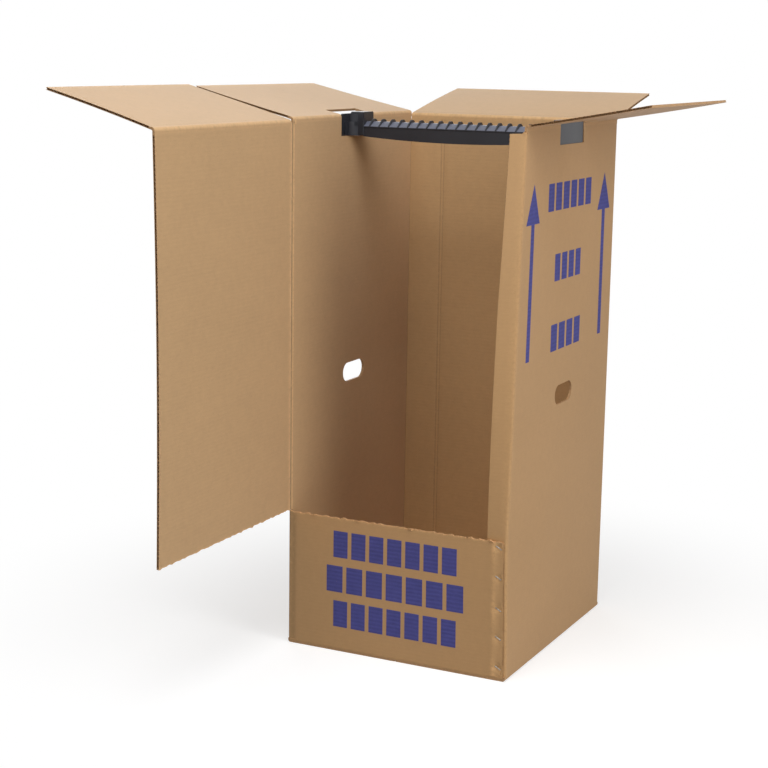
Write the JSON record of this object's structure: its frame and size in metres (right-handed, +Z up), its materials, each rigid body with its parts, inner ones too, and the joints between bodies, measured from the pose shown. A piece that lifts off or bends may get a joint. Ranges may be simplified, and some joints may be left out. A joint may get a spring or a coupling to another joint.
{
  "type": "wardrobe moving box",
  "caption": "Tall corrugated wardrobe carton with a swing-open front, folding top flaps, hand holes and a toothed plastic rail for hanging clothes.",
  "frame": {"origin": "centre of the underside of the closed base, on the floor plane", "axes": "+Z up along the height, -Y out of the front, +X towards the wall with the arrows; the rail runs along X"},
  "size_m": [0.9032, 1.1848, 1.0685],
  "materials": {
    "kraft_board": "matte kraft liner over C flute",
    "rail_plastic": "moulded, slightly satin",
    "stitch_wire": "dull galvanised wire",
    "blue_ink": "flexographic print, flat"
  },
  "bodies": {
    "carton": {"carton_shell": "kraft_board", "hanging_rail": "rail_plastic", "corner_stitch_1": "stitch_wire", "corner_stitch_2": "stitch_wire", "corner_stitch_3": "stitch_wire", "corner_stitch_4": "stitch_wire", "corner_stitch_5": "stitch_wire", "print_arrow_front": "blue_ink", "print_arrow_back": "blue_ink", "print_side_upper": "blue_ink", "print_side_middle": "blue_ink", "print_side_lower": "blue_ink", "print_front_upper": "blue_ink", "print_front_middle": "blue_ink", "print_front_lower": "blue_ink"},
    "door": {"front_door": "kraft_board"},
    "door_flap": {"door_top_flap": "kraft_board"},
    "left_flap": {"left_top_flap": "kraft_board"},
    "back_flap": {"back_top_flap": "kraft_board"},
    "right_flap": {"right_top_flap": "kraft_board"}
  },
  "joints": [
    {"name": "door_hinge", "type": "hinge", "parent": "carton", "child": "door", "pos_m": [-0.2285, -0.255, 0.636], "axis": [0, 0, 1], "range_deg": [0, 86.7]},
    {"name": "door_flap_fold", "type": "hinge", "parent": "door", "child": "door_flap", "pos_m": [-0.2285, -0.4835, 1.0052], "axis": [0, 1, 0], "range_deg": [-101, 165]},
    {"name": "left_flap_fold", "type": "hinge", "parent": "carton", "child": "left_flap", "pos_m": [-0.2285, 0, 1.01], "axis": [0, 1, 0], "range_deg": [-99, 167]},
    {"name": "back_flap_fold", "type": "hinge", "parent": "carton", "child": "back_flap", "pos_m": [0, 0.255, 1.0052], "axis": [1, 0, 0], "range_deg": [-98, 168]},
    {"name": "right_flap_fold", "type": "hinge", "parent": "carton", "child": "right_flap", "pos_m": [0.2285, 0, 1.01], "axis": [0, -1, 0], "range_deg": [-96, 170]}
  ]
}
